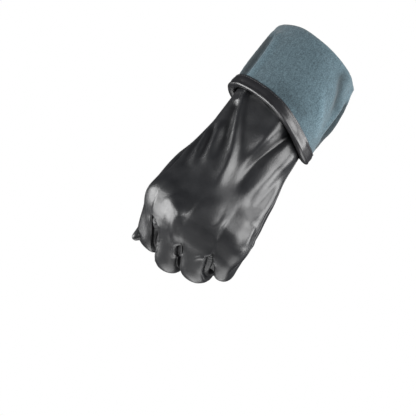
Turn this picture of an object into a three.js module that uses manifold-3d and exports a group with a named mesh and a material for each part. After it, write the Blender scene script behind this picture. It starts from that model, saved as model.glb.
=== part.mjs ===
// A worn left-hand glove of faux leather, its hand closed and its cuff turned back.
// Millimetres. The arm runs along Z with the mouth at the top and the centre of the mouth's fold
// at the origin. -Y is the back of the hand and +X is the side of the little finger.
import * as THREE from 'three';
import { mergeVertices } from 'three/addons/utils/BufferGeometryUtils.js';
import Module from 'manifold-3d';

const wasm = await Module();
wasm.setup();

// Walls and gaps
const leatherWall = 1.2;
const fleeceWall = 1.6;
const bandWall = 1.0;
const stripWall = 1;
const stripTurn = 1;
const seat = 0.3;
const stripSeat = 0.6;

// Turned-back cuff
const foldRadius = 1.3;
const hemZ = -68;
const cuffSlope = 0.13;
const bandHeight = 8.5;
const bandInnerHeight = 5.5;
const liningEndZ = -104;
const lapZ = -34;
const lapSkin = 0.02;

// Ends of fingers and thumb
const rootReach = 16;
const tipRound = 8;
const webBlend = 5;

// How finely the tubes are divided
const handSides = 32;
const fingerSides = 10;
const foldSteps = 4;
const fingerStep = 7;
const thumbSteps = 12;
const armHeights = [-8, -34, -60, -76, -90, -104];
const handHeights = [-116, -128, -140, -150, -159, -167, -174];
const handEndZ = -179;

// Cross-sections of arm and hand, outside of the leather, from the fold of the cuff to the
// knuckles: height, centre, half width, half depth to the back and to the palm, squareness.
const handSections = [
  { z: 0, x: 0, y: 0, half: 33.2, back: 25.4, palm: 25.4, square: 2.1 },
  { z: -34, x: 0, y: 0, half: 34.4, back: 26.4, palm: 26.4, square: 2.1 },
  { z: -68, x: 0, y: 0, half: 34.8, back: 26.4, palm: 26.4, square: 2.1 },
  { z: -88, x: -1, y: 0, half: 34.5, back: 24, palm: 25, square: 2.2 },
  { z: -108, x: -3, y: 0, half: 37.5, back: 21.5, palm: 22, square: 2.3 },
  { z: -128, x: -3, y: 0, half: 42, back: 19.5, palm: 19, square: 2.4 },
  { z: -148, x: 0, y: -1, half: 46.5, back: 18, palm: 16, square: 2.4 },
  { z: -162, x: 1, y: -2, half: 47.5, back: 17, palm: 14, square: 2.3 },
  { z: -172, x: 1, y: 1, half: 45, back: 15, palm: 12, square: 2.2 },
  { z: -179, x: 0, y: 3, half: 38, back: 10, palm: 9, square: 2.1 },
];

// Cross-sections of the turned-back cuff, outside of the fleece, from the fold to the hem.
const cuffSections = [
  { z: 0, x: 0, y: 0, half: 38.8, back: 31, palm: 31, square: 2.2 },
  { z: -12, x: 0, y: 0, half: 39.2, back: 31.6, palm: 31.4, square: 2.3 },
  { z: -36, x: 1, y: 0, half: 41, back: 32.4, palm: 33, square: 2.4 },
  { z: -80, x: 1, y: 0, half: 41, back: 32.8, palm: 32.6, square: 2.3 },
];

// Fingers: knuckle, length of each bone, bend at each joint and lean towards the little finger in
// degrees, turn of the bending plane in degrees, half widths at knuckle, past the web, at the
// middle joint and at the tip, half depth, and how far past the knuckle the web lies on the side
// of the index finger (webMinus) and of the little finger (webPlus).
const fingers = [
  {
    x: -36, y: -5, z: -163, first: 42, second: 23, third: 22,
    bend1: 52, bend2: 96, bend3: 48, lean: -9, turn: 2,
    base: 12.6, web: 9.4, joint: 9.4, tip: 7.6, depth: 9.2, webMinus: 6, webPlus: 16,
  },
  {
    x: -13, y: -8, z: -169, first: 47, second: 26, third: 23,
    bend1: 54, bend2: 98, bend3: 46, lean: -5, turn: -3,
    base: 12.6, web: 10.2, joint: 10, tip: 7.7, depth: 9.5, webMinus: 16, webPlus: 26,
  },
  {
    x: 11, y: -8, z: -168, first: 46, second: 25, third: 23,
    bend1: 55, bend2: 98, bend3: 46, lean: -2, turn: -6,
    base: 12.6, web: 10.2, joint: 10, tip: 7.5, depth: 9.3, webMinus: 26, webPlus: 27,
  },
  {
    x: 37, y: -4, z: -162, first: 41, second: 20, third: 20,
    bend1: 55, bend2: 98, bend3: 46, lean: -3, turn: -10,
    base: 12.6, web: 9.6, joint: 9.4, tip: 6.8, depth: 8.7, webMinus: 27, webPlus: 10,
  },
];

// The thumb's path, from under the palm's wall to its tip, with half width and half depth.
const thumbPath = [
  { x: -21, y: 9, z: -98, width: 12, depth: 8 },
  { x: -31, y: 19, z: -122, width: 15, depth: 12 },
  { x: -37, y: 27, z: -150, width: 12.5, depth: 11.5 },
  { x: -42, y: 28, z: -178, width: 10.5, depth: 10.5 },
  { x: -44, y: 21, z: -204, width: 6, depth: 6 },
];

// Strips between the fingers: the two neighbours, how far past the webs a strip begins and how
// far short of the tips it stops.
const fourchettes = [
  { name: 'fourchette_index_middle', one: 0, other: 1, past: 12, stop: 44 },
  { name: 'fourchette_middle_ring', one: 1, other: 2, past: 7, stop: 20 },
  { name: 'fourchette_ring_little', one: 2, other: 3, past: 5, stop: 14 },
];

// Folds of the leather on the back of the hand and arm: from and to, as an angle round the arm
// in degrees (0 at the little-finger side, 90 at the back) and a height, then width and rise.
const folds = [
  { angle1: 128, z1: -74, angle2: 120, z2: -136, width: 7, rise: 2.2 },
  { angle1: 150, z1: -78, angle2: 146, z2: -128, width: 7, rise: 1.8 },
  { angle1: 62, z1: -72, angle2: 95, z2: -126, width: 9, rise: 1.8 },
  { angle1: 38, z1: -90, angle2: 84, z2: -154, width: 12, rise: 2.2 },
  { angle1: 46, z1: -82, angle2: 92, z2: -142, width: 6, rise: -1.8 },
];

// Dents and ridges of the turned-back cuff, as above.
const cuffFolds = [
  { angle1: 52, z1: -14, angle2: 40, z2: -50, width: 9, rise: 1.5 },
  { angle1: 22, z1: -12, angle2: 28, z2: -40, width: 10, rise: -2 },
  { angle1: 168, z1: -16, angle2: 160, z2: -50, width: 9, rise: 1.2 },
];

const colours = { leather: 0x17181a, strip: 0x202124, fleece: 0x5f737d, band: 0x131416 };

// Shared helpers

// A value between the rows of a table, on a smooth curve through one named column.
function columnAt(rows, key, along, at) {
  let i = 0;
  while (i < rows.length - 2 && Math.abs(along(rows[i + 1]) - along(rows[0])) < at) {
    i += 1;
  }
  const start = Math.abs(along(rows[i]) - along(rows[0]));
  const end = Math.abs(along(rows[i + 1]) - along(rows[0]));
  const t = THREE.MathUtils.clamp((at - start) / (end - start), 0, 1);
  const value = (n) => rows[THREE.MathUtils.clamp(n, 0, rows.length - 1)][key];
  const slope1 = (value(i + 1) - value(i - 1)) / 2;
  const slope2 = (value(i + 2) - value(i)) / 2;
  const t2 = t * t;
  const t3 = t2 * t;
  return (
    (2 * t3 - 3 * t2 + 1) * value(i) +
    (t3 - 2 * t2 + t) * slope1 +
    (3 * t2 - 2 * t3) * value(i + 1) +
    (t3 - t2) * slope2
  );
}

// The cross-section at a height.
function sectionAt(rows, z) {
  const at = rows[0].z - z;
  const section = { z };
  for (const key of ['x', 'y', 'half', 'back', 'palm', 'square']) {
    section[key] = columnAt(rows, key, (row) => row.z, at);
  }
  return section;
}

// How far the folds of a list lift the surface at an angle and a height.
function foldRise(list, angle, z) {
  const aroundPerDegree = (Math.PI * 36) / 180;
  const fade = 0.62;
  let rise = 0;
  for (const fold of list) {
    const t = THREE.MathUtils.clamp((fold.z1 - z) / (fold.z1 - fold.z2), 0, 1);
    const centre = (fold.z1 + fold.z2) / 2;
    const past = Math.abs(z - centre) / (fade * (fold.z1 - fold.z2));
    const reach = 1 - Math.min(1, past) ** 2;
    const middle = fold.angle1 + (fold.angle2 - fold.angle1) * t;
    const aside = ((angle - middle) * aroundPerDegree) / fold.width;
    rise += fold.rise * reach * Math.exp(-aside * aside);
  }
  return rise;
}

// Mouth and hem slope down towards the little-finger side, and the slope fades at the wrist.
function slopeAt(z) {
  return cuffSlope * THREE.MathUtils.smoothstep(z, -116, -74);
}

// One point of a tube's section, angle in degrees from the little-finger side over the back.
function sectionPoint(section, list, angle, grow) {
  const a = (angle * Math.PI) / 180;
  const power = 2 / section.square;
  const across = Math.sign(Math.cos(a)) * Math.abs(Math.cos(a)) ** power;
  const deep = Math.sign(Math.sin(a)) * Math.abs(Math.sin(a)) ** power;
  const more = grow + foldRise(list, angle, section.z);
  const depth = deep > 0 ? section.back : section.palm;
  const x = section.x + across * (section.half + more);
  const y = section.y - deep * (depth + more);
  return new THREE.Vector3(x, y, section.z - x * slopeAt(section.z));
}

// One ring of points round arm or hand, inset from the outside of the leather.
function handRing(z, inset) {
  const section = sectionAt(handSections, z);
  const ring = [];
  for (let i = 0; i < handSides; i += 1) {
    ring.push(sectionPoint(section, folds, (360 * i) / handSides, -inset));
  }
  return ring;
}

// A closed body from rings of points. Without a loop, both ends are closed by a fan. The faces of
// the first turnedSides sides are split along their other diagonal, so that two surfaces that
// face each other bend alike.
function loft(rings, looped, turnedSides = 0) {
  const sides = rings[0].length;
  const positions = [];
  rings.flat().forEach((p) => positions.push(p.x, p.y, p.z));
  const faces = [];
  const last = looped ? rings.length : rings.length - 1;
  for (let r = 0; r < last; r += 1) {
    const next = (r + 1) % rings.length;
    for (let s = 0; s < sides; s += 1) {
      const a = r * sides + s;
      const b = r * sides + ((s + 1) % sides);
      const c = next * sides + s;
      const d = next * sides + ((s + 1) % sides);
      if (s < turnedSides) {
        faces.push([a, c, d], [a, d, b]);
      } else {
        faces.push([a, c, b], [b, c, d]);
      }
    }
  }
  if (!looped) {
    for (const end of [0, rings.length - 1]) {
      const middle = new THREE.Vector3();
      rings[end].forEach((p) => middle.add(p));
      middle.divideScalar(sides);
      const centre = positions.length / 3;
      positions.push(middle.x, middle.y, middle.z);
      for (let s = 0; s < sides; s += 1) {
        const a = end * sides + s;
        const b = end * sides + ((s + 1) % sides);
        faces.push(end === 0 ? [a, b, centre] : [b, a, centre]);
      }
    }
  }
  const geometry = new THREE.BufferGeometry();
  geometry.setAttribute('position', new THREE.Float32BufferAttribute(positions, 3));
  geometry.setIndex(faces.flat());
  return geometry;
}

// A solid from a closed mesh, turned outwards.
function solid(geometry) {
  const bare = geometry.clone();
  bare.deleteAttribute('normal');
  bare.deleteAttribute('uv');
  const merged = mergeVertices(bare, 1e-4);
  const make = (triVerts) =>
    new wasm.Manifold(
      new wasm.Mesh({ numProp: 3, vertProperties: merged.attributes.position.array, triVerts }),
    );
  const faces = new Uint32Array(merged.index.array);
  const made = make(faces);
  return made.volume() > 0 ? made : make(faces.slice().reverse());
}

function joined(solids) {
  return solids.reduce((sum, one) => sum.add(one));
}

// A flat-shaded mesh from a solid.
function geometryOf(made) {
  const mesh = made.getMesh();
  const geometry = new THREE.BufferGeometry();
  geometry.setAttribute('position', new THREE.Float32BufferAttribute(mesh.vertProperties, 3));
  geometry.setIndex(Array.from(mesh.triVerts));
  const flat = geometry.toNonIndexed();
  flat.computeVertexNormals();
  return flat;
}

// Fingers

// Centre, direction and sideways direction of a finger at a distance past its knuckle.
function fingerFrames(finger, from, to, step) {
  const lean = THREE.MathUtils.degToRad(finger.lean);
  const turn = THREE.MathUtils.degToRad(finger.turn);
  const straight = new THREE.Vector3(Math.sin(lean), 0, -Math.cos(lean));
  const palmward = new THREE.Vector3(Math.sin(turn), Math.cos(turn), 0);
  const sideways = new THREE.Vector3().crossVectors(palmward, straight).negate().normalize();
  const middleJoint = finger.first;
  const lastJoint = finger.first + finger.second;
  const bentAt = (s) =>
    finger.bend1 * THREE.MathUtils.smoothstep(s, -12, 10) +
    finger.bend2 * THREE.MathUtils.smoothstep(s, middleJoint - 11, middleJoint + 9) +
    finger.bend3 * THREE.MathUtils.smoothstep(s, lastJoint - 8, lastJoint + 7);
  const directionAt = (s) => {
    const bend = THREE.MathUtils.degToRad(bentAt(s));
    return straight
      .clone()
      .multiplyScalar(Math.cos(bend))
      .addScaledVector(palmward, Math.sin(bend));
  };
  const start = new THREE.Vector3(finger.x, finger.y, finger.z);
  const walks = 60;
  for (let i = 0; i < walks; i += 1) {
    start.addScaledVector(directionAt((from * (i + 0.5)) / walks), from / walks);
  }
  const frames = [];
  const count = Math.round((to - from) / step);
  const stride = (to - from) / count;
  const point = start.clone();
  for (let i = 0; i <= count; i += 1) {
    const s = from + stride * i;
    const direction = directionAt(s);
    const normal = new THREE.Vector3().crossVectors(direction, sideways).normalize();
    frames.push({ s, point: point.clone(), direction, sideways, normal });
    for (let k = 0; k < 4; k += 1) {
      point.addScaledVector(directionAt(s + ((k + 0.5) * stride) / 4), stride / 4);
    }
  }
  return frames;
}

function fingerLength(finger) {
  return finger.first + finger.second + finger.third;
}

// Half width of a finger on one side. Before its web a finger is part of the hand.
function fingerWidth(finger, s, side) {
  const web = side > 0 ? finger.webPlus : finger.webMinus;
  const rows = [
    { s: -rootReach, width: finger.base - 1.5 },
    { s: 0, width: finger.base },
    { s: web - webBlend, width: finger.base },
    { s: web + webBlend, width: finger.web },
    { s: finger.first, width: finger.joint },
    { s: finger.first + finger.second, width: (finger.joint + finger.tip) / 2 + 0.5 },
    { s: fingerLength(finger) - tipRound, width: finger.tip },
  ];
  return columnAt(rows, 'width', (row) => row.s, s + rootReach);
}

// Rings of points along a finger, with the frame of each ring. The root starts small inside the
// hand and swells to the knuckle, and the tip is rounded.
function fingerRings(finger, inset) {
  const length = fingerLength(finger) - inset;
  const shaft = fingerFrames(finger, -rootReach, length - tipRound, fingerStep);
  const tip = fingerFrames(finger, length - tipRound / 2.4, length, tipRound / 2.4);
  return [...shaft, ...tip].map((frame) => {
    const left = THREE.MathUtils.clamp((length - frame.s) / tipRound, 0, 1);
    const round = Math.max(0.42, Math.sqrt(1 - (1 - left) ** 2));
    const root = 0.55 + 0.45 * THREE.MathUtils.smoothstep(frame.s, -rootReach, 4);
    const slimming = 1 - (0.14 * frame.s) / length;
    const depth = (finger.depth * slimming * root - inset) * round;
    const ring = [];
    for (let i = 0; i < fingerSides; i += 1) {
      const a = (2 * Math.PI * i) / fingerSides;
      const across = Math.sign(Math.cos(a)) * Math.abs(Math.cos(a)) ** 0.85;
      const deep = Math.sign(Math.sin(a)) * Math.abs(Math.sin(a)) ** 0.85;
      const width = (fingerWidth(finger, frame.s, across) * root - inset) * round;
      ring.push(
        frame.point
          .clone()
          .addScaledVector(frame.sideways, across * width)
          .addScaledVector(frame.normal, deep * depth),
      );
    }
    return { frame, ring };
  });
}

function fingerTube(finger, inset) {
  return solid(loft(fingerRings(finger, inset).map((row) => row.ring), false));
}

// Hand and arm

// The closed tube of arm and hand, from below the cuff's fold to the knuckles.
function handTube(inset) {
  const heights = [...armHeights, ...handHeights];
  const rings = heights.map((z) => handRing(z, inset));
  rings.push(handRing(handEndZ + inset, inset + 1));
  return solid(loft(rings, false));
}

// The space inside the leather of the arm, open past the mouth.
function armHollow() {
  const open = handRing(0, leatherWall).map((p) => new THREE.Vector3(p.x, p.y, p.z + 12));
  const rings = [open, ...armHeights.map((z) => handRing(z, leatherWall))];
  return solid(loft(rings, false));
}

const outer = joined([handTube(0), ...fingers.map((finger) => fingerTube(finger, 0))]);
const inner = joined([
  handTube(leatherWall),
  armHollow(),
  ...fingers.map((finger) => fingerTube(finger, leatherWall)),
]);
const handWall = outer.subtract(inner);

// Turned-back cuff: each layer is a closed strip that runs up the arm, over the fold and down
// the outside. Offsets are measured from the arm's leather towards the fleece side.

// The closed outline of a layer at one angle round the arm, between two offsets.
function layerRing(angle, near, far, innerEndZ, hemEndZ) {
  const foldZ = -foldRadius - leatherWall - seat - fleeceWall;
  const armAt = (z) => sectionPoint(sectionAt(handSections, z), folds, angle, 0);
  const cuffAt = (z) => sectionPoint(sectionAt(cuffSections, z), cuffFolds, angle, 0);
  const mouth = sectionPoint(sectionAt(handSections, foldZ), folds, angle, foldRadius);
  const out = new THREE.Vector3(mouth.x, mouth.y, 0).normalize();
  const pushed = (p, amount) => p.clone().addScaledVector(out, amount);
  const armSideHeights = armHeights.filter((z) => z < foldZ && z >= innerEndZ).reverse();
  armSideHeights.push(foldZ);
  const total = leatherWall + seat + fleeceWall;
  const hemHeights = [foldZ - 6, -26, -48, hemEndZ];
  const armSide = (offset) => armSideHeights.map((z) => pushed(armAt(z), -offset));
  const foldSide = (offset) => {
    const points = [];
    for (let i = 1; i < foldSteps; i += 1) {
      const a = (Math.PI * i) / foldSteps;
      const point = pushed(mouth, -Math.cos(a) * (foldRadius + offset));
      point.z = mouth.z + Math.sin(a) * (foldRadius + offset);
      points.push(point);
    }
    points.push(pushed(mouth, foldRadius + offset));
    return points;
  };
  const hemSide = (offset) => hemHeights.map((z) => pushed(cuffAt(z), offset - total));
  const fleeceSide = [...armSide(far), ...foldSide(far), ...hemSide(far)];
  const leatherSide = [...armSide(near), ...foldSide(near), ...hemSide(near)];
  return [...fleeceSide, ...leatherSide.reverse()];
}

// A layer all round the arm.
function layer(near, far, innerEndZ, hemEndZ) {
  const rings = [];
  for (let i = 0; i < handSides; i += 1) {
    rings.push(layerRing((360 * i) / handSides, near, far, innerEndZ, hemEndZ));
  }
  return solid(loft(rings, true, rings[0].length / 2));
}

const clothHemZ = hemZ + bandWall + seat;
const cuffLeather = layer(lapSkin, leatherWall - lapSkin, lapZ, clothHemZ);
const fleeceStart = leatherWall + seat;
const lining = layer(fleeceStart, fleeceStart + fleeceWall, liningEndZ, clothHemZ);

// Hem band: a folded strip that holds the edges of leather and fleece. Its outline at one angle
// goes down the outside, round the hem, up the inside and back along the cloth.
function bandRing(angle) {
  const cuffAt = (z, offset) => {
    const point = sectionPoint(sectionAt(cuffSections, z), cuffFolds, angle, 0);
    const out = new THREE.Vector3(point.x, point.y, 0).normalize();
    return point.addScaledVector(out, offset);
  };
  const outside = seat + bandWall;
  const inside = -(leatherWall + seat + fleeceWall) - outside;
  const top = hemZ + bandHeight;
  const innerTop = hemZ + bandInnerHeight;
  const middle = (outside + inside) / 2;
  return [
    cuffAt(top, outside),
    cuffAt(hemZ + 1, outside),
    cuffAt(hemZ - 0.4, middle + 1.2),
    cuffAt(hemZ - 0.4, middle - 1.2),
    cuffAt(hemZ + 1, inside),
    cuffAt(innerTop, inside),
    cuffAt(innerTop, inside + bandWall),
    cuffAt(hemZ + bandWall, inside + bandWall),
    cuffAt(hemZ + bandWall, seat),
    cuffAt(top, seat),
  ];
}

const bandRings = [];
for (let i = 0; i < handSides; i += 1) {
  bandRings.push(bandRing((360 * i) / handSides));
}
const band = solid(loft(bandRings, true));

// Thumb

// The thumb's closed tube, grown outwards or, with a negative value, inwards.
function thumbTube(grow) {
  const curve = new THREE.CatmullRomCurve3(
    thumbPath.map((row) => new THREE.Vector3(row.x, row.y, row.z)),
  );
  const roundFrom = 0.12;
  const rings = [];
  for (let i = 0; i <= thumbSteps; i += 1) {
    const t = i / thumbSteps;
    const place = Math.min(1, t * (1 + grow / 100));
    const point = curve.getPoint(place);
    const direction = curve.getTangent(place);
    const sideways = new THREE.Vector3(1, 0, 0)
      .addScaledVector(direction, -direction.x)
      .normalize();
    const normal = new THREE.Vector3().crossVectors(direction, sideways);
    const row = (key) => columnAt(thumbPath, key, (r) => r.z, thumbPath[0].z - point.z);
    const left = THREE.MathUtils.clamp((1 - t) / roundFrom, 0, 1);
    const round = Math.max(0.35, Math.sqrt(1 - (1 - left) ** 2));
    const width = (row('width') + grow) * round;
    const depth = (row('depth') + grow) * round;
    const ring = [];
    for (let s = 0; s < fingerSides; s += 1) {
      const a = (2 * Math.PI * s) / fingerSides;
      ring.push(
        point
          .clone()
          .addScaledVector(sideways, Math.cos(a) * width)
          .addScaledVector(normal, Math.sin(a) * depth),
      );
    }
    rings.push(ring);
  }
  return solid(loft(rings, false));
}

const thumbInner = thumbTube(-leatherWall);
const thumb = thumbTube(0)
  .subtract(thumbInner)
  .subtract(joined([handTube(-seat), ...fingers.map((finger) => fingerTube(finger, -seat))]));
const shell = handWall.subtract(thumbInner).add(cuffLeather);

// Fourchettes: a strip that lies against one finger's side, turns at the web and comes back along
// the side of the next finger.

// The part of a strip along one finger: rings of points off the finger's flank.
function sideRings(finger, side, strip) {
  const web = side > 0 ? finger.webPlus : finger.webMinus;
  const from = web + strip.past;
  const to = fingerLength(finger) - strip.stop;
  const flank = side > 0 ? 0 : fingerSides / 2;
  const rows = fingerRings(finger, 0).filter(({ frame }) => frame.s >= from && frame.s <= to);
  return rows.map(({ frame, ring }) => {
    const corners = [-side, 0, side].map((k) => ring[(flank + k + fingerSides) % fingerSides]);
    const off = (corner, amount) =>
      corner.clone().addScaledVector(frame.sideways, side * amount);
    const near = corners.map((corner) => off(corner, stripSeat));
    const far = corners.map((corner) => off(corner, stripSeat + stripWall)).reverse();
    return { frame, points: [...near, ...far] };
  });
}

// A whole strip, joined across the web.
function fourchette(strip) {
  const one = sideRings(fingers[strip.one], 1, strip);
  const other = sideRings(fingers[strip.other], -1, strip);
  const a = one[0];
  const b = other[0];
  const back = a.frame.direction.clone().add(b.frame.direction).normalize().negate();
  const turn = a.points.map((point, i) => {
    const between = point.clone().add(b.points[i]).divideScalar(2);
    const far = i >= 3;
    return between.addScaledVector(back, far ? stripTurn : stripTurn + stripWall);
  });
  const rings = [...one.reverse().map((row) => row.points), turn];
  rings.push(...other.map((row) => row.points));
  return solid(loft(rings, false, a.points.length / 2));
}

// The glove

function piece(name, made, colour, roughness) {
  const material = new THREE.MeshStandardMaterial({ color: colour, roughness, metalness: 0 });
  const mesh = new THREE.Mesh(geometryOf(made), material);
  mesh.name = name;
  return mesh;
}

const glove = new THREE.Group();
glove.add(piece('leather_shell', shell, colours.leather, 0.38));
glove.add(piece('thumb', thumb, colours.leather, 0.38));
for (const strip of fourchettes) {
  glove.add(piece(strip.name, fourchette(strip), colours.strip, 0.42));
}
glove.add(piece('fleece_lining', lining, colours.fleece, 0.95));
glove.add(piece('hem_band', band, colours.band, 0.4));

export default glove;
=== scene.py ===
import math

import bpy
import numpy as np
from mathutils import Matrix, Vector
from mathutils.bvhtree import BVHTree


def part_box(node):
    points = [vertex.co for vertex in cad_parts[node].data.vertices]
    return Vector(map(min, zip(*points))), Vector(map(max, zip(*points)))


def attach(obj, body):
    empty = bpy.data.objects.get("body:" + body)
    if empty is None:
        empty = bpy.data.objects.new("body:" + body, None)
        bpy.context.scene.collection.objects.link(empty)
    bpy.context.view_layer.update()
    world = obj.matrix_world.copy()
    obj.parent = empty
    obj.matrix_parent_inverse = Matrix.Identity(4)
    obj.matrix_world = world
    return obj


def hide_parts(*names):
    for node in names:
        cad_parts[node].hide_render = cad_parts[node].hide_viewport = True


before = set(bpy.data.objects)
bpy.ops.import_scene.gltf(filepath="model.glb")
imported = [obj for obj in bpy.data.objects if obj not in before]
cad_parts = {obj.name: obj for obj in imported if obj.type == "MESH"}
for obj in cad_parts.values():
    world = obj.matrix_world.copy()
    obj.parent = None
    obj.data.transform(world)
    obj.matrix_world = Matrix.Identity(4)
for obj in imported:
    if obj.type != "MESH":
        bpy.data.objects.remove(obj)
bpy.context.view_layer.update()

# Stand: the glove hangs free in front of plain white, seen from the back of the hand with a long
# lens. Wide soft lamps stand at both sides of it, one lies below and a smaller one hangs high at
# the right. In front there is only a weak one, so the middle of the black hide stays dark.
view_right = Vector((0.784, 0.267, 0.561)).normalized()
view_up = Vector((-0.402, -0.471, 0.785))
view_up = (view_up - view_right * view_up.dot(view_right)).normalized()
view_back = view_right.cross(view_up)
aim = Vector((0.0011, 0.0003, -0.1514))
view_distance = 1.2
sensor_width = 36
picture_pixels = 416
focal_pixels = 1600

camera_data = bpy.data.cameras.new("camera")
camera_data.sensor_width = sensor_width
camera_data.lens = focal_pixels / picture_pixels * sensor_width
camera = bpy.data.objects.new("camera", camera_data)
camera_turn = Matrix((view_right, view_up, view_back)).transposed().to_4x4()
camera.matrix_world = Matrix.Translation(aim + view_back * view_distance) @ camera_turn
bpy.context.collection.objects.link(camera)
bpy.context.scene.camera = camera


def table_of(columns, *rows):
    return [dict(zip(columns.split(), row)) for row in rows]


# A lamp's place is told from the point that the camera aims at, in metres.
lamp_table = table_of(
    "name right up back width height power gloss",
    ("lamp_left", -1.02, 0.14, -0.12, 0.7, 0.9, 19.0, True),
    ("lamp_left_near", -0.88, 0.32, 0.55, 0.35, 0.45, 7.5, True),
    ("lamp_right", 0.61, 0.12, 0.88, 0.7, 0.8, 17.0, True),
    ("lamp_beside", 1.04, -0.22, 0.08, 0.8, 0.9, 19.0, True),
    ("lamp_high", 0.82, 0.62, 0.3, 0.6, 0.6, 6.0, True),
    ("lamp_below", -0.1, -1.05, -0.3, 1.4, 0.9, 10.0, True),
    ("lamp_front", 0.1, 0.25, 1.3, 0.6, 0.6, 1.0, False),
)
for row in lamp_table:
    lamp_data = bpy.data.lights.new(row["name"], "AREA")
    lamp_data.shape = "RECTANGLE"
    lamp_data.size = row["width"]
    lamp_data.size_y = row["height"]
    lamp_data.energy = row["power"]
    lamp = bpy.data.objects.new(row["name"], lamp_data)
    lamp.location = aim + view_right * row["right"] + view_up * row["up"] + view_back * row["back"]
    lamp.rotation_euler = (aim - lamp.location).to_track_quat("-Z", "Y").to_euler()
    lamp.visible_glossy = row["gloss"]
    bpy.context.collection.objects.link(lamp)


def set_inputs(tree, node, inputs):
    for socket, value in inputs.items():
        if isinstance(value, bpy.types.NodeSocket):
            tree.links.new(value, node.inputs[socket])
        else:
            node.inputs[socket].default_value = value


def add_node(tree, kind, inputs):
    made = tree.nodes.new(kind)
    set_inputs(tree, made, inputs)
    return made


# The glove is lit by a dim room, and only the camera sees the white behind it.
studio = bpy.data.worlds.new("studio")
studio.use_nodes = True
studio_tree = studio.node_tree
room = studio_tree.nodes["Background"]
set_inputs(studio_tree, room, {"Color": (0.9, 0.93, 1.0, 1), "Strength": 0.06})
backdrop = add_node(studio_tree, "ShaderNodeBackground", {"Color": (1, 1, 1, 1), "Strength": 1.0})
ray_kind = add_node(studio_tree, "ShaderNodeLightPath", {})
seen_or_lit = add_node(studio_tree, "ShaderNodeMixShader", {
    "Fac": ray_kind.outputs["Is Camera Ray"],
    1: room.outputs["Background"],
    2: backdrop.outputs["Background"],
})
set_inputs(studio_tree, studio_tree.nodes["World Output"], {"Surface": seen_or_lit.outputs["Shader"]})
bpy.context.scene.world = studio
bpy.context.scene.view_settings.view_transform = "Standard"


def new_material(name):
    made = bpy.data.materials.new(name)
    made.use_nodes = True
    return made, made.node_tree, made.node_tree.nodes["Principled BSDF"]


# A pale floor lies far below, out of the picture.
floor_reach = 5
floor_height = -1.8
floor_corners = [
    (side_x * floor_reach, side_y * floor_reach, floor_height)
    for side_x, side_y in ((-1, -1), (1, -1), (1, 1), (-1, 1))
]
floor_mesh = bpy.data.meshes.new("floor")
floor_mesh.from_pydata(floor_corners, [], [(0, 1, 2, 3)])
floor = bpy.data.objects.new("floor", floor_mesh)
bpy.context.collection.objects.link(floor)
pale_paint, paint_tree, paint_surface = new_material("pale_paint")
set_inputs(paint_tree, paint_surface, {"Base Color": (0.86, 0.86, 0.86, 1), "Roughness": 0.9})
floor_mesh.materials.append(pale_paint)


# Hand of the glove: back and palm are two cut panels of thin coated faux leather, joined by side
# seams that run on along the outer fingers. It is worn, so the hide is drawn into long folds from
# the wrist to the knuckles. All tables here are in millimetres, and a mesh is made in metres.
leather_wall = 1.2
hand_sections = table_of(
    "z x y half back palm square tilt",
    (0, 0, 0, 33.2, 25.4, 25.4, 2.1, 0.0),
    (-34, 0, 0, 34.4, 26.4, 26.4, 2.1, 0.0),
    (-68, 0.5, 0, 35.2, 26.4, 26.4, 2.1, 0.0),
    (-88, 0, 0, 35.5, 24.6, 25, 2.1, 0.02),
    (-108, -2.6, 0, 35.4, 22.5, 22, 2.1, 0.05),
    (-128, -2.9, 0, 39.3, 21.2, 19, 2.1, 0.08),
    (-148, -1.0, -1, 42.0, 20, 16, 2.1, 0.1),
    (-162, 0.2, -2, 41.4, 18.6, 14, 2.1, 0.1),
    (-172, 0.8, 1, 37.5, 15, 12, 2.1, 0.08),
    (-179, 0.5, 3, 30, 9, 9, 2.1, 0.05),
)
hand_lumps = table_of(
    "name x y z rx ry rz",
    ("ball_of_thumb", -24, 12, -122, 15, 12, 28),
    ("heel", 24, 9, -124, 14, 10, 28),
    ("knuckle_index", -29.5, -9, -160, 7.8, 10.5, 10),
    ("knuckle_middle", -5, -11.4, -171, 11, 11.3, 11),
)
least_swell = 0.05
end_soft = 5.0
lump_soft = 10.0
bow_share = 0.14
bow_from = -6
bow_starts, bow_full = -96, -140

# Fingers, in columns from the index to the little finger: the place of the knuckle, the lengths of
# the three stretches, the bends before them and the lean and turn of the whole in degrees, the
# half widths and the half depth, how far along the webs are, and where and how much it swells.
finger_columns = {
    "x": (-33, -13, 11, 32), "y": (-5, -8, -6.2, 3.6), "z": (-163, -169, -169.5, -165.5),
    "first": (42, 47, 42.5, 31.5), "second": (23, 26, 25, 20), "third": (22, 23, 23, 20),
    "bend1": (52, 54, 55, 55), "bend2": (96, 98, 98, 98), "bend3": (48, 46, 46, 46),
    "lean": (-12, -5, 2.0, -4), "turn": (2, -3, -6, -10), "base": (11.6, 12.6, 12.6, 11.2),
    "web": (9.6, 10.4, 10.4, 9.6), "joint": (9.8, 10.4, 10.4, 9.4), "tip": (7.8, 7.9, 7.7, 7.0),
    "depth": (9.4, 9.7, 9.5, 8.6), "web_minus": (6, 16, 26, 27), "web_plus": (16, 26, 27, 10),
    "puff_at": (28, 46, 40, 52), "puff_minus": (4.0, -3.0, 0.8, 0.5), "puff_plus": (0.5, 0.8, 0.8, -5.0),
}
finger_table = [{key: column[n] for key, column in finger_columns.items()} for n in range(4)]
finger_square = 2.35
finger_taper = 0.14
round_tip = 0.9
path_step = 2.5
root_reach = 16
root_least, root_more, root_full = 0.55, 0.45, 4
root_narrower = 1.5
web_blend = 5
joint_wider = 0.5
tip_length = 8
puff_length = 16
far_away = 14.0
far_margin = 0.5
tube_margin = 2
not_along = -50.0
not_past = -20

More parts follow.
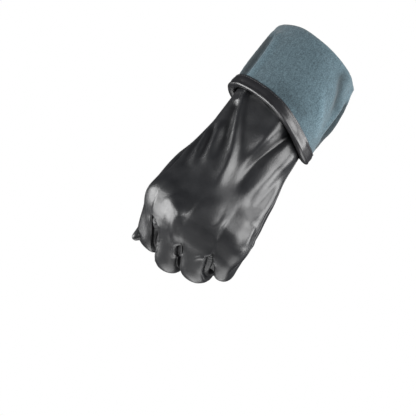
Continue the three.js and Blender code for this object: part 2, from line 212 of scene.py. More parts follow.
# Slits of the closed fist, each between one finger and the other: half its width, the shift of its
# middle, where along the fingers it starts and how soon it is open, and how far out it reaches. The
# strip in it sinks by sink and slopes down from gap on.
slit_table = table_of(
    "one other half shift start opens reach sink gap",
    (0, 1, 4.2, 0.0, -11.0, 6.0, 8.0, 2.8, 0.3),
    (1, 2, 2.9, 2.4, -20.0, 14.0, 8.0, 2.4, 0.0),
    (2, 3, 3.4, 0.7, -22.0, 8.0, 9.5, 2.4, -0.35),
)
slit_depth = 7.0
slit_depth_more = 10
deeper_starts, deeper_full = 2, 12
slit_soft = 1.0
web_soft = 13.0
crease_soft = 3.0
crease_starts, crease_full = -2, 9
knuckle_soft = 12.0


def ease(value, start, end):
    t = np.clip((value - start) / (end - start), 0, 1)
    return t * t * (3 - 2 * t)


def through_rows(rows, along, key, at):
    marks = np.array([abs(row[along] - rows[0][along]) for row in rows], float)
    values = np.array([row[key] for row in rows], float)
    passed = (np.asarray(at, float) - rows[0][along]) * math.copysign(1, rows[-1][along] - rows[0][along])
    i = np.clip(np.searchsorted(marks, passed, side="right") - 1, 0, len(rows) - 2)
    t = np.clip((passed - marks[i]) / (marks[i + 1] - marks[i]), 0, 1)
    before, start, end, after = (values[np.clip(i + n, 0, len(rows) - 1)] for n in (-1, 0, 1, 2))
    slope1, slope2 = (end - before) / 2, (after - start) / 2
    t2, t3 = t * t, t * t * t
    leaving = (2 * t3 - 3 * t2 + 1) * start + (t3 - 2 * t2 + t) * slope1
    return leaving + (3 * t2 - 2 * t3) * end + (t3 - t2) * slope2


def section_at(rows, z):
    return {key: through_rows(rows, "z", key, z) for key in rows[0] if key != "z"}


def oval(across, deep, square):
    return (np.abs(across) ** square + np.abs(deep) ** square) ** (1 / square)


def merge(one, other, soft):
    share = np.clip(0.5 + 0.5 * (other - one) / soft, 0, 1)
    return other * (1 - share) + one * share - soft * share * (1 - share)


# Distance from the skin of the hand without its fingers, less than nothing inside. From the wrist
# on its back bows down towards the little finger.
def hand_distance(grid):
    x, y, z = np.meshgrid(*grid, indexing="ij", sparse=True)
    row = section_at(hand_sections, z)
    aside = x - row["x"]
    bow = bow_share * ease(z, bow_starts, bow_full) * np.maximum(aside - bow_from, 0) ** 2 / row["half"]
    deep = y - row["y"] - aside * row["tilt"] - bow
    depth = np.where(deep < 0, row["back"], row["palm"])
    swell = oval(aside / row["half"], deep / depth, row["square"])
    distance = np.hypot(aside, deep) * (1 - 1 / np.maximum(swell, least_swell))
    distance = -merge(-distance, z - hand_sections[-1]["z"], end_soft)
    for lump in hand_lumps:
        parts = [(at - lump[axis]) / lump["r" + axis] for axis, at in zip("xyz", (x, y, z))]
        far = np.sqrt(parts[0] ** 2 + parts[1] ** 2 + parts[2] ** 2)
        distance = merge(distance, (far - 1) * min(lump["rx"], lump["ry"], lump["rz"]), lump_soft)
    return distance


def finger_length(finger):
    return finger["first"] + finger["second"] + finger["third"]


def finger_path(finger):
    s = np.arange(-root_reach, finger_length(finger) - finger["tip"] * round_tip, path_step)
    middle, last = finger["first"], finger["first"] + finger["second"]
    bends = table_of(
        "bend at before after",
        (finger["bend1"], 0, 12, 10),
        (finger["bend2"], middle, 11, 9),
        (finger["bend3"], last, 8, 7),
    )
    bend = np.zeros(len(s))
    for row in bends:
        bend += row["bend"] * ease(s, row["at"] - row["before"], row["at"] + row["after"])
    bend = np.radians(bend)
    lean, turn = math.radians(finger["lean"]), math.radians(finger["turn"])
    straight = np.array((math.sin(lean), 0, -math.cos(lean)))
    palmward = np.array((math.sin(turn), math.cos(turn), 0))
    aside = -np.cross(palmward, straight)
    aside /= np.linalg.norm(aside)
    heading = np.cos(bend)[:, None] * straight + np.sin(bend)[:, None] * palmward
    stride = (heading[1:] + heading[:-1]) / 2 * path_step
    walked = np.vstack([np.zeros(3), np.cumsum(stride, axis=0)])
    knuckle = np.array((finger["x"], finger["y"], finger["z"]), float)
    at_knuckle = np.array([np.interp(0, s, walked[:, k]) for k in range(3)])
    return s, knuckle + walked - at_knuckle, aside


# Inside the hand a finger's tube starts at about half of its size.
def root_taper(s):
    return root_least + root_more * ease(s, -root_reach, root_full)


def finger_width(finger, s, side):
    web = finger["web_plus"] if side > 0 else finger["web_minus"]
    rows = table_of(
        "s width",
        (-root_reach, finger["base"] - root_narrower),
        (0, finger["base"]),
        (web - web_blend, finger["base"]),
        (web + web_blend, finger["web"]),
        (finger["first"], finger["joint"]),
        (finger["first"] + finger["second"], (finger["joint"] + finger["tip"]) / 2 + joint_wider),
        (finger_length(finger) - tip_length, finger["tip"]),
    )
    puff = finger["puff_plus"] if side > 0 else finger["puff_minus"]
    width = through_rows(rows, "s", "width", s) * root_taper(s)
    return width + puff * np.exp(-(((s - finger["puff_at"]) / puff_length) ** 2))


def finger_depth(finger, s):
    return finger["depth"] * (1 - finger_taper * s / finger_length(finger)) * root_taper(s)


def dot(parts, way):
    return parts[0] * way[0] + parts[1] * way[1] + parts[2] * way[2]


# For every point of the grid: the distance from a tube's skin, how far along the tube the point
# is, and how far it is from the tube's middle towards the back of the hand.
def tube_distance(grid, path, widths, depths, square):
    shape = [len(axis) for axis in grid]
    distance = np.full(shape, far_away, np.float32)
    place = np.full(shape, not_along, np.float32)
    height = np.zeros(shape, np.float32)
    s, points, aside = path
    for i in range(len(s) - 1):
        start, end = points[i], points[i + 1]
        low = np.minimum(start, end) - far_away - tube_margin
        high = np.maximum(start, end) + far_away + tube_margin
        cut = tuple(slice(*np.searchsorted(axis, (low[k], high[k]))) for k, axis in enumerate(grid))
        near = np.meshgrid(*(axis[part] for axis, part in zip(grid, cut)), indexing="ij", sparse=True)
        chord = end - start
        t = dot([axis - start[k] for k, axis in enumerate(near)], chord) / (chord @ chord)
        t = np.clip(t, 0, 1)
        off = [axis - start[k] - chord[k] * t for k, axis in enumerate(near)]
        facing = np.cross(chord / np.linalg.norm(chord), aside)
        across = dot(off, aside)
        rest = np.sqrt(np.maximum(dot(off, off) - across**2, 0))
        minus, plus, depth = (row[i] * (1 - t) + row[i + 1] * t for row in (*widths, depths))
        width = np.where(across > 0, plus, minus)
        here = (oval(across / width, rest / depth, square) - 1) * np.minimum(width, depth)
        nearer = here < distance[cut]
        distance[cut] = np.where(nearer, here, distance[cut])
        place[cut] = np.where(nearer, s[i] + (s[i + 1] - s[i]) * t, place[cut])
        height[cut] = np.where(nearer, dot(off, facing) / depth, height[cut])
    return distance, place, height


def finger_fields(grid):
    fields = []
    for finger in finger_table:
        path = finger_path(finger)
        widths = [finger_width(finger, path[0], side) for side in (-1, 1)]
        fields.append(tube_distance(grid, path, widths, finger_depth(finger, path[0]), finger_square))
    return fields


# A slit lies between two fingers: the distance aside from its middle, the distance past the web,
# the distance from the farther finger, and the slit's half width, which opens from its start.
def slit_fields(fields, slit):
    one, other = fields[slit["one"]], fields[slit["other"]]
    web_one, web_other = finger_table[slit["one"]]["web_plus"], finger_table[slit["other"]]["web_minus"]
    near = np.maximum(one[0], other[0])
    past = (one[1] - web_one + other[1] - web_other) / 2
    past = np.where(near < far_away - far_margin, past, not_past)
    sideways = (one[0] - other[0]) / 2 - slit["shift"]
    opened = ease(past, slit["start"], slit["start"] + slit["opens"])
    return sideways, past, near, slit["half"] * (2 * opened - 1)


def fist_hull(grid, fields):
    fist = fields[0][0]
    for slit in slit_table:
        past = slit_fields(fields, slit)[1]
        soft = web_soft - (web_soft - crease_soft) * ease(past, crease_starts, crease_full)
        fist = merge(fist, fields[slit["other"]][0], soft)
    return merge(hand_distance(grid), fist, knuckle_soft)


def cut_slits(hull, fields):
    body = hull
    for slit in slit_table:
        sideways, past, near, half = slit_fields(fields, slit)
        cut = np.maximum(np.abs(sideways) - half, near - slit["reach"])
        deeper = slit_depth_more * ease(past, deeper_starts, deeper_full)
        cut = np.maximum(cut, -(hull + slit_depth + deeper))
        body = -merge(-body, cut, slit_soft)
    return body


def grid_between(low, high, step):
    return tuple(np.arange(start, end, step) for start, end in zip(low, high))


# The skin of a field as a net of four-sided faces, with one point in each cell that it crosses.
def surface_net(field, grid):
    cells = np.array(field.shape) - 1
    inside = field < 0
    sums = np.zeros((np.prod(cells), 3))
    counts = np.zeros(np.prod(cells))
    faces = []

    def flat(index):
        return (index[:, 0] * cells[1] + index[:, 1]) * cells[2] + index[:, 2]

    for axis in range(3):
        low = [slice(None)] * 3
        high = [slice(None)] * 3
        low[axis], high[axis] = slice(None, -1), slice(1, None)
        crossing = np.argwhere(inside[tuple(low)] != inside[tuple(high)])
        a, b = (field[tuple(part)][tuple(crossing.T)] for part in (low, high))
        point = crossing.astype(float)
        point[:, axis] += a / (a - b)
        u, v = (axis + 1) % 3, (axis + 2) % 3
        corners = []
        for du, dv in ((0, 0), (-1, 0), (-1, -1), (0, -1)):
            cell = crossing.copy()
            cell[:, u] += du
            cell[:, v] += dv
            good = np.all((cell >= 0) & (cell < cells), axis=1)
            where = flat(cell[good])
            for k in range(3):
                sums[:, k] += np.bincount(where, point[good, k], len(counts))
            counts += np.bincount(where, minlength=len(counts))
            corners.append((cell, good))
        whole = np.all([good for cell, good in corners], axis=0)
        quads = np.stack([flat(cell[whole]) for cell, good in corners], axis=1)
        rising = (a > b)[whole]
        quads[rising] = quads[rising][:, ::-1]
        faces.append(quads)
    used = counts > 0
    number = np.cumsum(used) - 1
    spots = sums[used] / counts[used][:, None]
    origin = np.array([axis[0] for axis in grid])
    step = grid[0][1] - grid[0][0]
    return origin + spots * step, number[np.concatenate(faces)]


# Each round moves every point half way to the mean of its neighbours.
def relax(points, quads, rounds):
    pairs = np.concatenate([quads[:, [k, (k + 1) % 4]] for k in range(4)])
    edges = np.unique(np.sort(pairs, axis=1), axis=0)
    ends = np.concatenate([edges, edges[:, ::-1]])
    count = np.maximum(np.bincount(ends[:, 0], minlength=len(points)), 1)
    for _ in range(rounds):
        sums = [np.bincount(ends[:, 0], points[ends[:, 1], k], len(points)) for k in range(3)]
        points = (points + np.stack(sums, axis=1) / count[:, None]) / 2
    return points


def smooth_net(field, grid, rounds):
    points, quads = surface_net(field, grid)
    return relax(points, quads, rounds), quads


def normals_of(points, quads):
    a, b, c, d = (points[quads[:, k]] for k in range(4))
    face = np.cross(c - a, d - b)
    sums = [sum(np.bincount(quads[:, k], face[:, n], len(points)) for k in range(4)) for n in range(3)]
    normal = np.stack(sums, axis=1)
    return normal / np.maximum(np.linalg.norm(normal, axis=1), 1e-9)[:, None]


def sampled(field, grid, points):
    step = grid[0][1] - grid[0][0]
    at = (points - np.array([axis[0] for axis in grid])) / step
    at = np.clip(at, 0, np.array(field.shape) - 1.001)
    i = at.astype(int)
    t = at - i
    total = 0
    for corner in np.ndindex(2, 2, 2):
        weight = np.prod([t[:, k] if corner[k] else 1 - t[:, k] for k in range(3)], axis=0)
        total = total + weight * field[tuple((i + corner).T)]
    return total


def curve_through(points, count):
    rows = table_of("i x y z", *((i, *point) for i, point in enumerate(points)))
    at = np.linspace(0, len(points) - 1, count)
    return np.stack([through_rows(rows, "i", key, at) for key in "xyz"], axis=1)


# Folds of the hide: each is a soft ridge, or with a negative rise a crease, along a line of points
# on the outside. Width is its size at the first point and wider at the last, and start and end say
# over what share of its length it fades in and out.
fold_columns = "name rise width wider start end line"
spots_a_line = 18
reach_in_widths = 3
fold_table = table_of(
    fold_columns,
    ("tendon", 2.8, 2.6, 6.0, 0.12, 0.35, [
        (-18.5, -23, -51), (-15.5, -24, -66), (-10.5, -24.3, -82), (-4.5, -24, -95.5), (1.8, -22.4, -110),
        (5, -20.6, -124), (6, -20.2, -138), (6, -20.4, -150)]),
    ("beside_tendon", -2.4, 4.4, 5.0, 0.15, 0.4, [
        (-21, -22.4, -70), (-17.5, -22.8, -82), (-13, -23.4, -94), (-8, -22.8, -108), (-3, -21.5, -124)]),
    ("middle", 2.4, 3.6, 5.6, 0.3, 0.5, [
        (-21.5, -21, -90), (-18.5, -21.6, -99), (-15.5, -21.6, -111), (-12.8, -21.4, -125),
        (-11, -20.5, -138)]),
    ("valley", -2.0, 3.2, 3.8, 0.3, 0.4, [
        (-25.5, -19.8, -94), (-22, -20.9, -106), (-18.8, -21, -120), (-16.5, -20.6, -134)]),
    ("thumb_side", 2.0, 3.0, 4.4, 0.3, 0.4, [
        (-30, -17.5, -96), (-26.5, -19.6, -108), (-23, -20.4, -121), (-19, -20.6, -136)]),
    ("outer_valley", -1.6, 3.4, 3.6, 0.3, 0.4, [
        (-34, -14.5, -96), (-32, -16.5, -110), (-29.5, -18, -125), (-26.5, -19, -139)]),
    ("index_crease", -1.5, 1.9, 2.2, 0.3, 0.25, [
        (-37, -13, -112), (-38.5, -13, -123.6), (-36.9, -14, -135), (-36, -15, -143.5),
        (-36.8, -14.5, -152), (-38, -14, -161)]),
    ("index_roll", 1.4, 2.6, 2.8, 0.3, 0.3, [
        (-39.5, -9, -112), (-42, -9.5, -124), (-41.5, -10, -136), (-41, -11, -146), (-41.5, -10, -156)]),
    ("upper_right", 3.6, 6.4, 6.5, 0.1, 0.5, [
        (20.5, -22, -64), (20.8, -21.8, -75), (19.6, -20.8, -88), (17.5, -19.8, -101), (15, -19.5, -116)]),
    ("crease", -3.2, 3.2, 4.6, 0.1, 0.4, [
        (33, -11, -70), (30.4, -14.4, -78), (27, -16.4, -88), (23.6, -17.4, -99), (21, -17, -111),
        (20, -15.4, -125), (20, -15, -137)]),
    ("lower_right", 3.2, 6.6, 8.0, 0.15, 0.35, [
        (35.4, -1, -78), (34.4, -4.5, -90), (32.6, -5.8, -101), (30.6, -6.4, -112), (28.4, -8, -123),
        (27.8, -8.6, -135), (28.6, -9.4, -147)]),
    ("lower_crease", -1.1, 3.2, 4.4, 0.3, 0.5, [
        (35.4, 1.2, -103), (36, -0.1, -115), (36.2, -0.6, -127), (36, -2.2, -136), (36.6, -4.6, -146)]),
    ("knuckle_ridge", 1.6, 4.6, 4.2, 0.2, 0.2, [
        (-20, -22.4, -164), (-12, -23.6, -168), (-5, -22.8, -171.5), (0, -19.6, -174)]),
    ("edge", 0.5, 3.4, 3.6, 0.3, 0.4, [
        (35.6, 5.4, -106), (38, 3.4, -120), (40, 2.5, -134), (41.4, 1.5, -148)]),
    ("wedge", 1.4, 2.8, 2.8, 0.3, 0.3, [
        (40.6, 2, -147), (42.2, 1, -156), (42.6, 4, -165)]),
    ("between_fingers", -0.8, 1.6, 1.6, 0.4, 0.05, [
        (-2, -21, -178.9), (0.4, -14.7, -183.3), (1.9, -6.5, -186.3), (2, -0.3, -188.2)]),
    ("arc_over_slit", 1.0, 1.5, 1.3, 0.35, 0.2, [
        (12, 7.5, -192), (17, 3.2, -188.3), (22.2, 2.6, -185.8), (26.2, 5.6, -184.6),
        (28.4, 13.4, -184.6)]),
    ("palm_one", -1.2, 3.0, 3.0, 0.2, 0.3, [
        (-8, 26, -82), (-2, 24, -104), (-6, 21, -126), (-16, 18, -146)]),
    ("palm_two", 1.4, 3.4, 3.4, 0.2, 0.3, [
        (8, 26, -72), (12, 24, -96), (10, 21, -118), (6, 18, -138)]),
    ("palm_three", -1.0, 2.6, 3.0, 0.2, 0.3, [
        (22, 22, -78), (26, 19, -100), (22, 19, -124), (14, 17, -144)]),
    ("wrist_one", -0.6, 2.2, 2.2, 0.3, 0.3, [
        (-26, 18, -84), (-12, 25, -88), (6, 26, -92), (22, 20, -98)]),
    ("wrist_two", 0.5, 2.8, 2.8, 0.3, 0.3, [
        (-28, 16, -93), (-12, 23, -98), (4, 24, -103), (20, 19, -110)]),
)


def fold_rise(points, table):
    total = np.zeros(len(points))
    for fold in table:
        line = curve_through(fold["line"], spots_a_line)
        reach = reach_in_widths * max(fold["width"], fold["wider"])
        near = np.all((points > line.min(axis=0) - reach) & (points < line.max(axis=0) + reach), axis=1)
        some = points[near]
        best, at = np.full(len(some), 1e9), np.zeros(len(some))
        for i in range(len(line) - 1):
            chord = line[i + 1] - line[i]
            t = np.clip((some - line[i]) @ chord / (chord @ chord), 0, 1)
            gap = np.linalg.norm(some - line[i] - t[:, None] * chord, axis=1)
            closer = gap < best
            best = np.where(closer, gap, best)
            at = np.where(closer, (i + t) / (len(line) - 1), at)
        width = fold["width"] + (fold["wider"] - fold["width"]) * at
        bell = np.exp(-((best / width) ** 2))
        fade = ease(at, 0, fold["start"] + 1e-3) * ease(1 - at, 0, fold["end"] + 1e-3)
        beyond = (at <= 0) | (at >= 1)
        fade = np.where(beyond, fade * bell, fade)
        total[near] += fold["rise"] * fade * bell
    return total


# Low uneven swells: some waves of each length, in random directions, that add up to its height.
waves_each = 7
waves_add_up = 2.6


def unevenness(points, lengths, heights, seed):
    waves = np.random.default_rng(seed)
    total = np.zeros(len(points))
    for length, height in zip(lengths, heights):
        for _ in range(waves_each):
            way = waves.normal(size=3)
            way /= np.linalg.norm(way)
            phase = waves.uniform(0, 2 * math.pi)
            wave = points @ way * 2 * math.pi / (length * waves.uniform(0.7, 1.4)) + phase
            total += height / waves_add_up * np.sin(wave)
    return total


# A fold's height tells the hide's dye where it stands up, so that it is a little lighter there,
# partly as wear and partly as painted highlight, and where a crease sinks, so that it is darker
# there as painted shade.
def crest_of(rise):
    return np.clip(0.5 + rise / 4, 0, 1)


def mesh_piece(name, points, faces, material, **marks):
    mesh = bpy.data.meshes.new(name)
    mesh.from_pydata((points * 0.001).tolist(), [], [list(face) for face in faces])
    mesh.polygons.foreach_set("use_smooth", [True] * len(mesh.polygons))
    for label, values in marks.items():
        spread = np.full(len(points), values, np.float32)
        mesh.attributes.new(label, "FLOAT", "POINT").data.foreach_set("value", spread)
    mesh.materials.append(material)
    mesh.update()
    made = bpy.data.objects.new(name, mesh)
    bpy.context.collection.objects.link(made)
    return made


def add_math(tree, operation, *values):
    made = add_node(tree, "ShaderNodeMath", dict(enumerate(values)))
    made.operation = operation
    return made.outputs["Value"]


def noise(tree, vector, scale, detail, roughness=0.5):
    inputs = {"Vector": vector, "Scale": scale, "Detail": detail, "Roughness": roughness}
    return add_node(tree, "ShaderNodeTexNoise", inputs).outputs["Fac"]


def attribute(tree, name):
    made = tree.nodes.new("ShaderNodeAttribute")
    made.attribute_name = name
    return made.outputs["Fac"]


def dyed(tree, share, *stops):
    ramp = add_node(tree, "ShaderNodeValToRGB", {"Fac": share})
    for stop, (position, colour) in zip(ramp.color_ramp.elements, stops):
        stop.position = position
        stop.color = tuple(colour) + (1,)
    return ramp.outputs["Color"]


def bumped(tree, height, strength, distance):
    inputs = {"Strength": strength, "Distance": distance, "Height": height}
    return add_node(tree, "ShaderNodeBump", inputs).outputs["Normal"]


# Coated hide: pebbled grain with pores under a thin clear coat, dyed and polished in soft patches.
# The dye is lighter on fold ridges, as wear and painted highlight, and darker in creases, as
# painted shade.
def hide(name, tone, roughness, grain=900.0, depth=0.0001):
    made, tree, surface = new_material(name)
    place = tree.nodes.new("ShaderNodeTexCoord").outputs["Object"]
    pebbles = add_node(tree, "ShaderNodeTexVoronoi", {"Vector": place, "Scale": grain})
    pebbles.feature = "SMOOTH_F1"
    set_inputs(tree, pebbles, {"Smoothness": 0.6})
    pores = noise(tree, place, scale=grain * 2.6, detail=3)
    patches = noise(tree, place, scale=60.0, detail=4)
    relief = add_math(tree, "MULTIPLY_ADD", pores, 0.45, pebbles.outputs["Distance"])
    polish = add_node(tree, "ShaderNodeMapRange", {
        "Value": patches, "From Min": 0.3, "From Max": 0.7,
        "To Min": roughness - 0.05, "To Max": roughness + 0.06,
    })
    # Fold ridges turn the dye lighter, as wear and painted highlight, and creases darker, as painted shade.
    worn_and_painted_shade = add_math(tree, "MULTIPLY_ADD", attribute(tree, "crest"), 0.5, patches)
    dark, light = ([share * part for part in tone] for share in (0.6, 1.5))
    set_inputs(tree, surface, {
        "Base Color": dyed(tree, worn_and_painted_shade, (0.15, dark), (0.95, light)),
        "Roughness": polish.outputs["Result"],
        "Normal": bumped(tree, relief, strength=0.55, distance=depth),
        "Specular IOR Level": 0.5, "Coat Weight": 0.2, "Coat Roughness": 0.27,
    })
    return made


black_hide = hide("black_hide", (0.006, 0.0063, 0.0072), roughness=0.39)

hand_grid = grid_between((-57, -30, -208), (56, 54, -29), step=1.0)
hand_fields = finger_fields(hand_grid)
hand_hull = fist_hull(hand_grid, hand_fields)
hand_field = cut_slits(hand_hull, hand_fields)
plain_points, hand_faces = smooth_net(hand_field, hand_grid, rounds=3)
plain_normals = normals_of(plain_points, hand_faces)
rise = fold_rise(plain_points, fold_table)
rise += unevenness(plain_points, lengths=(34, 15), heights=(0.16, 0.06), seed=4)


# What a field says at the points of the hand's skin.
def at_skin(field):
    return sampled(field, hand_grid, plain_points)


# The cut edges beside each slit stand up as a low roll.
edge_roll = 0.45
roll_inset = 0.9
roll_width = 1.0
roll_starts, roll_full = 3, 6
for slit in slit_table:
    sideways, past, near, half = slit_fields(hand_fields, slit)
    edge = at_skin(np.abs(sideways) - half)
    along_slit = ease(at_skin(past), slit["start"] + roll_starts, slit["start"] + roll_full)
    rise += along_slit * edge_roll * np.exp(-(((edge - roll_inset) / roll_width) ** 2))

# Inside each bend the hide of a finger is gathered into ripples.
ripple_height = 0.22
ripple_pitch = 3.6
ripple_reaches = (6, 5)
ripple_near, ripple_far = 1.5, 3.5
inside_starts, inside_full = 0.5, 0.95
for finger, (distance, place, height) in zip(finger_table, hand_fields):
    close = ease(-at_skin(distance), -ripple_far, -ripple_near)
    s = at_skin(place)
    inside = ease(-at_skin(height), inside_starts, inside_full)
    joints = (finger["first"], finger["first"] + finger["second"])
    for joint, reach in zip(joints, ripple_reaches):
        ripple = np.cos((s - joint) * 2 * math.pi / ripple_pitch) * np.exp(-(((s - joint) / reach) ** 2))
        rise += close * ripple_height * ripple * inside
hand_points = plain_points + plain_normals * rise[:, None]

# The inner face of the wall is a coarser net of the same field, one wall further in.
coarse = 3
coarse_spare = 0.3
inner_grid = tuple(axis[::coarse] for axis in hand_grid)
inner_field = hand_field[::coarse, ::coarse, ::coarse] + (leather_wall + coarse_spare)
inner_points, inner_faces = smooth_net(inner_field, inner_grid, rounds=1)
inner_normals = normals_of(inner_points, inner_faces)
inner_rise = fold_rise(inner_points + inner_normals * leather_wall, fold_table)
inner_points = inner_points + inner_normals * inner_rise[:, None]


# The open edge of a net, in order round the wrist from its greatest x, with the turn of each point.
def open_rim(points, faces):
    starts, ends = faces.ravel(), np.roll(faces, -1, axis=1).ravel()
    single = ~np.isin(starts * len(points) + ends, ends * len(points) + starts)
    follow = dict(zip(starts[single].tolist(), ends[single].tolist()))
    loop = [max(follow, key=lambda at: points[at, 0])]
    while follow[loop[-1]] != loop[0]:
        loop.append(follow[loop[-1]])
    turn = np.unwrap(np.arctan2(points[loop, 1], points[loop, 0]))
    if turn[-1] < turn[0]:
        loop = [loop[0]] + loop[:0:-1]
        turn = np.unwrap(np.arctan2(points[loop, 1], points[loop, 0]))
    return loop, np.append(turn, turn[0] + 2 * math.pi)


# Inside the cuff, where both nets end, a ring of triangles closes the wall between them.
def rim_faces(outer, inner, inner_start):
    (outer_rim, outer_turn), (inner_rim, inner_turn) = outer, inner
    faces = []
    i = j = 0
    while i < len(outer_rim) or j < len(inner_rim):
        here, there = outer_rim[i % len(outer_rim)], inner_rim[j % len(inner_rim)] + inner_start
        if j == len(inner_rim) or (i < len(outer_rim) and outer_turn[i + 1] <= inner_turn[j + 1]):
            i += 1
            faces.append((here, outer_rim[i % len(outer_rim)], there))
        else:
            j += 1
            faces.append((here, inner_rim[j % len(inner_rim)] + inner_start, there))
    return faces


both_points = np.concatenate([hand_points, inner_points])
both_faces = hand_faces.tolist() + (inner_faces[:, ::-1] + len(hand_points)).tolist()
hand_rims = open_rim(hand_points, hand_faces), open_rim(inner_points, inner_faces)
both_faces += rim_faces(*hand_rims, len(hand_points))
# The outside is dyed by its folds, with painted shade in creases; the inner wall is a fixed step darker.
inner_crest = 0.3
both_crest = np.concatenate([crest_of(rise), np.full(len(inner_points), inner_crest)])
hand_piece = mesh_piece("hand_panels", both_points, both_faces, black_hide, crest=both_crest)
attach(hand_piece, "root")
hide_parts("leather_shell")


# Thumb: cut on its own and sewn into the palm panel, it lies curled behind the index finger, and
# from the front only its tip looks out past the fist.
thumb_table = table_of(
    "s x y z width depth",
    (0, -20, 8, -98, 12, 8.5),
    (1, -30, 17, -120, 15, 12),
    (2, -37, 27, -150, 12, 11.5),
    (3, -42, 25.5, -173, 9.6, 9.8),
    (4, -46, 18.5, -192.5, 3.2, 3.8),
)
thumb_square = 2.2
thumb_seam_reach = 4
thumb_seam_soft = 6.0
thumb_sink = 2.5
thumb_folds = table_of(
    fold_columns,
    ("web", -1.2, 2.4, 2.4, 0.2, 0.3, [
        (-30, 30, -122), (-38, 24, -130), (-44, 16, -134)]),
    ("web_roll", 0.9, 2.4, 2.4, 0.2, 0.3, [
        (-30, 33, -130), (-40, 28, -138), (-47, 20, -142)]),
    ("joint", -0.9, 1.8, 1.8, 0.2, 0.2, [
        (-34, 38, -168), (-42, 38, -170), (-51, 30, -171)]),
    ("joint_roll", 0.7, 2, 2, 0.2, 0.2, [
        (-34, 38.5, -174), (-42, 38.5, -176), (-52, 30, -177)]),
)
thumb_rings = 36
thumb_at = np.linspace(0, len(thumb_table) - 1, thumb_rings)
thumb_line = np.stack([through_rows(thumb_table, "s", key, thumb_at) for key in "xyz"], axis=1)
thumb_aside = np.array((0.94, 0.1, -0.33))
thumb_aside /= np.linalg.norm(thumb_aside)
thumb_widths = through_rows(thumb_table, "s", "width", thumb_at)
thumb_depths = through_rows(thumb_table, "s", "depth", thumb_at)
thumb_grid = grid_between((-64, -8, -214), (4, 54, -84), step=1.1)
thumb_path = (thumb_at, thumb_line, thumb_aside)
thumb_sides = (thumb_widths, thumb_widths)
thumb_tube = tube_distance(thumb_grid, thumb_path, thumb_sides, thumb_depths, thumb_square)[0]
palm_side = hand_distance(thumb_grid)
thumb_body = merge(thumb_tube, np.maximum(palm_side, thumb_tube - thumb_seam_reach), thumb_seam_soft)
thumb_body = np.maximum(thumb_body, -(palm_side + thumb_sink))
thumb_points, thumb_faces = smooth_net(thumb_body, thumb_grid, rounds=3)
thumb_rise = fold_rise(thumb_points, thumb_folds)
thumb_rise += unevenness(thumb_points, lengths=(24, 11), heights=(0.2, 0.07), seed=9)
thumb_points = thumb_points + normals_of(thumb_points, thumb_faces) * thumb_rise[:, None]
thumb_crest = crest_of(thumb_rise)
thumb_piece = mesh_piece("thumb_leather", thumb_points, thumb_faces, black_hide, crest=thumb_crest)
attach(thumb_piece, "root")
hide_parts("thumb")


# Fourchettes: narrow strips of the same hide, sewn between two fingers and folded at the web. In
# the closed fist they lie at the bottom of the slits, a little duller than the panels and puckered
# where a slit begins.
strip_hide = hide("strip_hide", (0.009, 0.0095, 0.0105), roughness=0.58)
strip_names = ["fourchette_index_middle", "fourchette_middle_ring", "fourchette_ring_little"]
strip_half_wall = 0.6
strip_clear = 0.25
strip_length = 46
strip_step = 0.6
bridge_soft = 10.0
cover_soft = 2.0
slope_least, slope_more, slope_length = 1.4, 2.4, 12
gap_soft = 0.45
pucker_height = 0.32
pucker_along, pucker_across = 2.6, 2.0
pucker_full, pucker_ends = 4, 16
room_below, room_above = np.array((10, 22, 10)), np.array((10, 8, 24))
for slit, node in zip(slit_table, strip_names):
    low, high = (np.array(corner) * 1000 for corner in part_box(node))
    strip_grid = grid_between(low - room_below, high + room_above, strip_step)
    strip_fields = finger_fields(strip_grid)
    sideways, past, near, half = slit_fields(strip_fields, slit)
    bridge = merge(strip_fields[slit["one"]][0], strip_fields[slit["other"]][0], bridge_soft)
    cover = merge(fist_hull(strip_grid, strip_fields), bridge, cover_soft)
    across = sideways / slit["half"]
    slope = slope_least + slope_more * ease(past, 0, slope_length)
    deep_side = slope * ease(across, slit["gap"], slit["gap"] + gap_soft)
    at_start = ease(-past, -slit["start"] - pucker_ends, -slit["start"] - pucker_full)
    pucker = pucker_height * np.sin(past * pucker_along + pucker_across * across) * at_start
    strip_field = np.abs(cover + slit["sink"] + deep_side + pucker) - strip_half_wall
    strip_field = np.maximum(strip_field, np.abs(sideways) - half + strip_clear)
    strip_field = np.maximum(strip_field, slit["start"] + slit["opens"] / 2 - past)
    strip_field = np.maximum(strip_field, past - strip_length)
    strip_points, strip_faces = smooth_net(strip_field, strip_grid, rounds=1)
    strip_piece = mesh_piece(node + "_hide", strip_points, strip_faces, strip_hide, crest=0.5)
    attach(strip_piece, "root")
    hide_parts(node)


# Fleece lining: a blue-grey napped knit, backed by the hide. It lines the arm, comes out over the
# mouth and covers the turned-back cuff, where hide and fleece hang as two layers in one bag.
fleece_wall = 1.6
layer_gap = 0.3
bag_depth = leather_wall + layer_gap + fleece_wall
fold_radius = 1.3
fold_height = -fold_radius - bag_depth
hem_height = -65.2
hem_edge = hem_height + 2.0
lining_end = -104.0
backing_end = -40.0
cuff_slope = 0.105
cuff_drop = 0.004
cuff_drop_from = 12
slope_starts, slope_full = -116, -74
hem_slope = 0.095
hem_drop = 0.0024
hem_starts, hem_full = -8, -54
wrist_tuck = 2.4
tuck_starts, tuck_full = -52, -64
lift_height, lift_at, lift_width = 2.0, -6, 15
blend_height = 7
arm_ring_step = 4
fold_rings = 11
cuff_rings = 30
calm_share = 0.7
calm_starts, calm_full = -46, -61
cuff_sides = 208
hide_outside = 4
backing_clear = 0.05
# Limits of the painted highlight (below nothing) and of the painted shade on the fleece.
nap_lightest, nap_darkest = -0.5, 0.7
cuff_sections = table_of(
    "z x y half back palm square",
    (0, -0.7, 0, 38.1, 31, 31, 2.25),
    (-12, 0.3, 0, 38.9, 31.8, 31.4, 2.35),
    (-24, 1.2, 0, 40.2, 32.2, 32.4, 2.4),
    (-38, 1.5, 0, 40.5, 32.4, 33, 2.45),
    (-80, 1, 0, 41, 32.8, 32.6, 2.35),
)
groove_line = [
    (38.6, 11.6, -21), (40, 10.6, -30), (41, 9.6, -41), (41.4, 8.6, -51), (41.4, 9, -59), (40.3, 12.7, -66),
]
